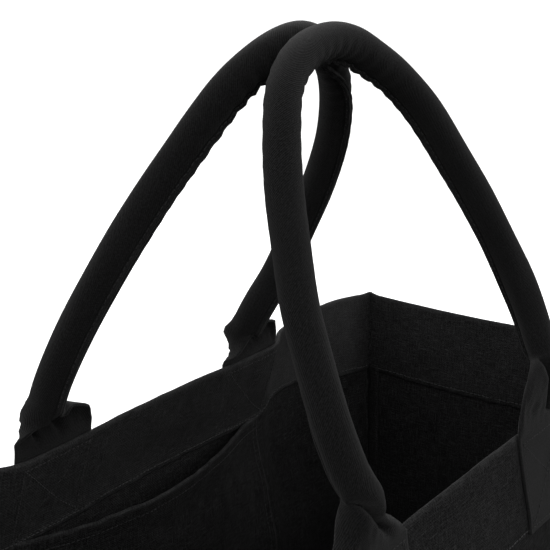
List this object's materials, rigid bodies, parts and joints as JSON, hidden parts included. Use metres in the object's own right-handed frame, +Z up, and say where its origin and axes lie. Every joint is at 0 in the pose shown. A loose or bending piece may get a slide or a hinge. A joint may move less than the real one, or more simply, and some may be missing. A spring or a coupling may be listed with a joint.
{
  "type": "canvas tote bag",
  "caption": "Boxy open-top canvas tote bag with a wide turned hem, side gussets, an inside patch pocket and rolled padded handles that swing down outside.",
  "frame": {"origin": "centre of the underside of the base, on the ground", "axes": "+Z up, X along the bag's length, +Y towards the rear panel that carries the inside pocket"},
  "size_m": [0.524, 0.2166, 0.6139],
  "materials": {
    "rear_panel": "black heavy plain-weave cotton canvas, matte",
    "front_panel": "black heavy plain-weave cotton canvas, matte",
    "left_gusset": "black heavy plain-weave cotton canvas, matte",
    "right_gusset": "black heavy plain-weave cotton canvas, matte",
    "base_panel": "black heavy plain-weave cotton canvas, matte",
    "pocket": "black heavy plain-weave cotton canvas, matte",
    "rear_tab_left": "black cotton canvas strip, matte",
    "rear_tab_right": "black cotton canvas strip, matte",
    "front_tab_left": "black cotton canvas strip, matte",
    "front_tab_right": "black cotton canvas strip, matte",
    "seam_rear_left": "black serged canvas edge, matte",
    "seam_rear_right": "black serged canvas edge, matte",
    "seam_front_left": "black serged canvas edge, matte",
    "seam_front_right": "black serged canvas edge, matte",
    "base_seam_rear": "black serged canvas edge, matte",
    "base_seam_front": "black serged canvas edge, matte",
    "base_seam_left": "black serged canvas edge, matte",
    "base_seam_right": "black serged canvas edge, matte",
    "rear_handle_cover": "black cotton canvas strip, matte",
    "rear_handle_core": "undyed soft cotton cord, matte",
    "front_handle_cover": "black cotton canvas strip, matte",
    "front_handle_core": "undyed soft cotton cord, matte"
  },
  "bodies": {
    "bag": {"rear_panel": "rear_panel", "front_panel": "front_panel", "left_gusset": "left_gusset", "right_gusset": "right_gusset", "base_panel": "base_panel", "pocket": "pocket", "rear_tab_left": "rear_tab_left", "rear_tab_right": "rear_tab_right", "front_tab_left": "front_tab_left", "front_tab_right": "front_tab_right", "seam_rear_left": "seam_rear_left", "seam_rear_right": "seam_rear_right", "seam_front_left": "seam_front_left", "seam_front_right": "seam_front_right", "base_seam_rear": "base_seam_rear", "base_seam_front": "base_seam_front", "base_seam_left": "base_seam_left", "base_seam_right": "base_seam_right"},
    "rear_handle": {"rear_handle_cover": "rear_handle_cover", "rear_handle_core": "rear_handle_core"},
    "front_handle": {"front_handle_cover": "front_handle_cover", "front_handle_core": "front_handle_core"}
  },
  "joints": [
    {"name": "rear_handle_swing", "type": "hinge", "parent": "bag", "child": "rear_handle", "pos_m": [0, 0.1083, 0.383], "axis": [-1, 0, 0], "range_deg": [0, 175]},
    {"name": "front_handle_swing", "type": "hinge", "parent": "bag", "child": "front_handle", "pos_m": [0, -0.1083, 0.383], "axis": [1, 0, 0], "range_deg": [0, 175]}
  ]
}
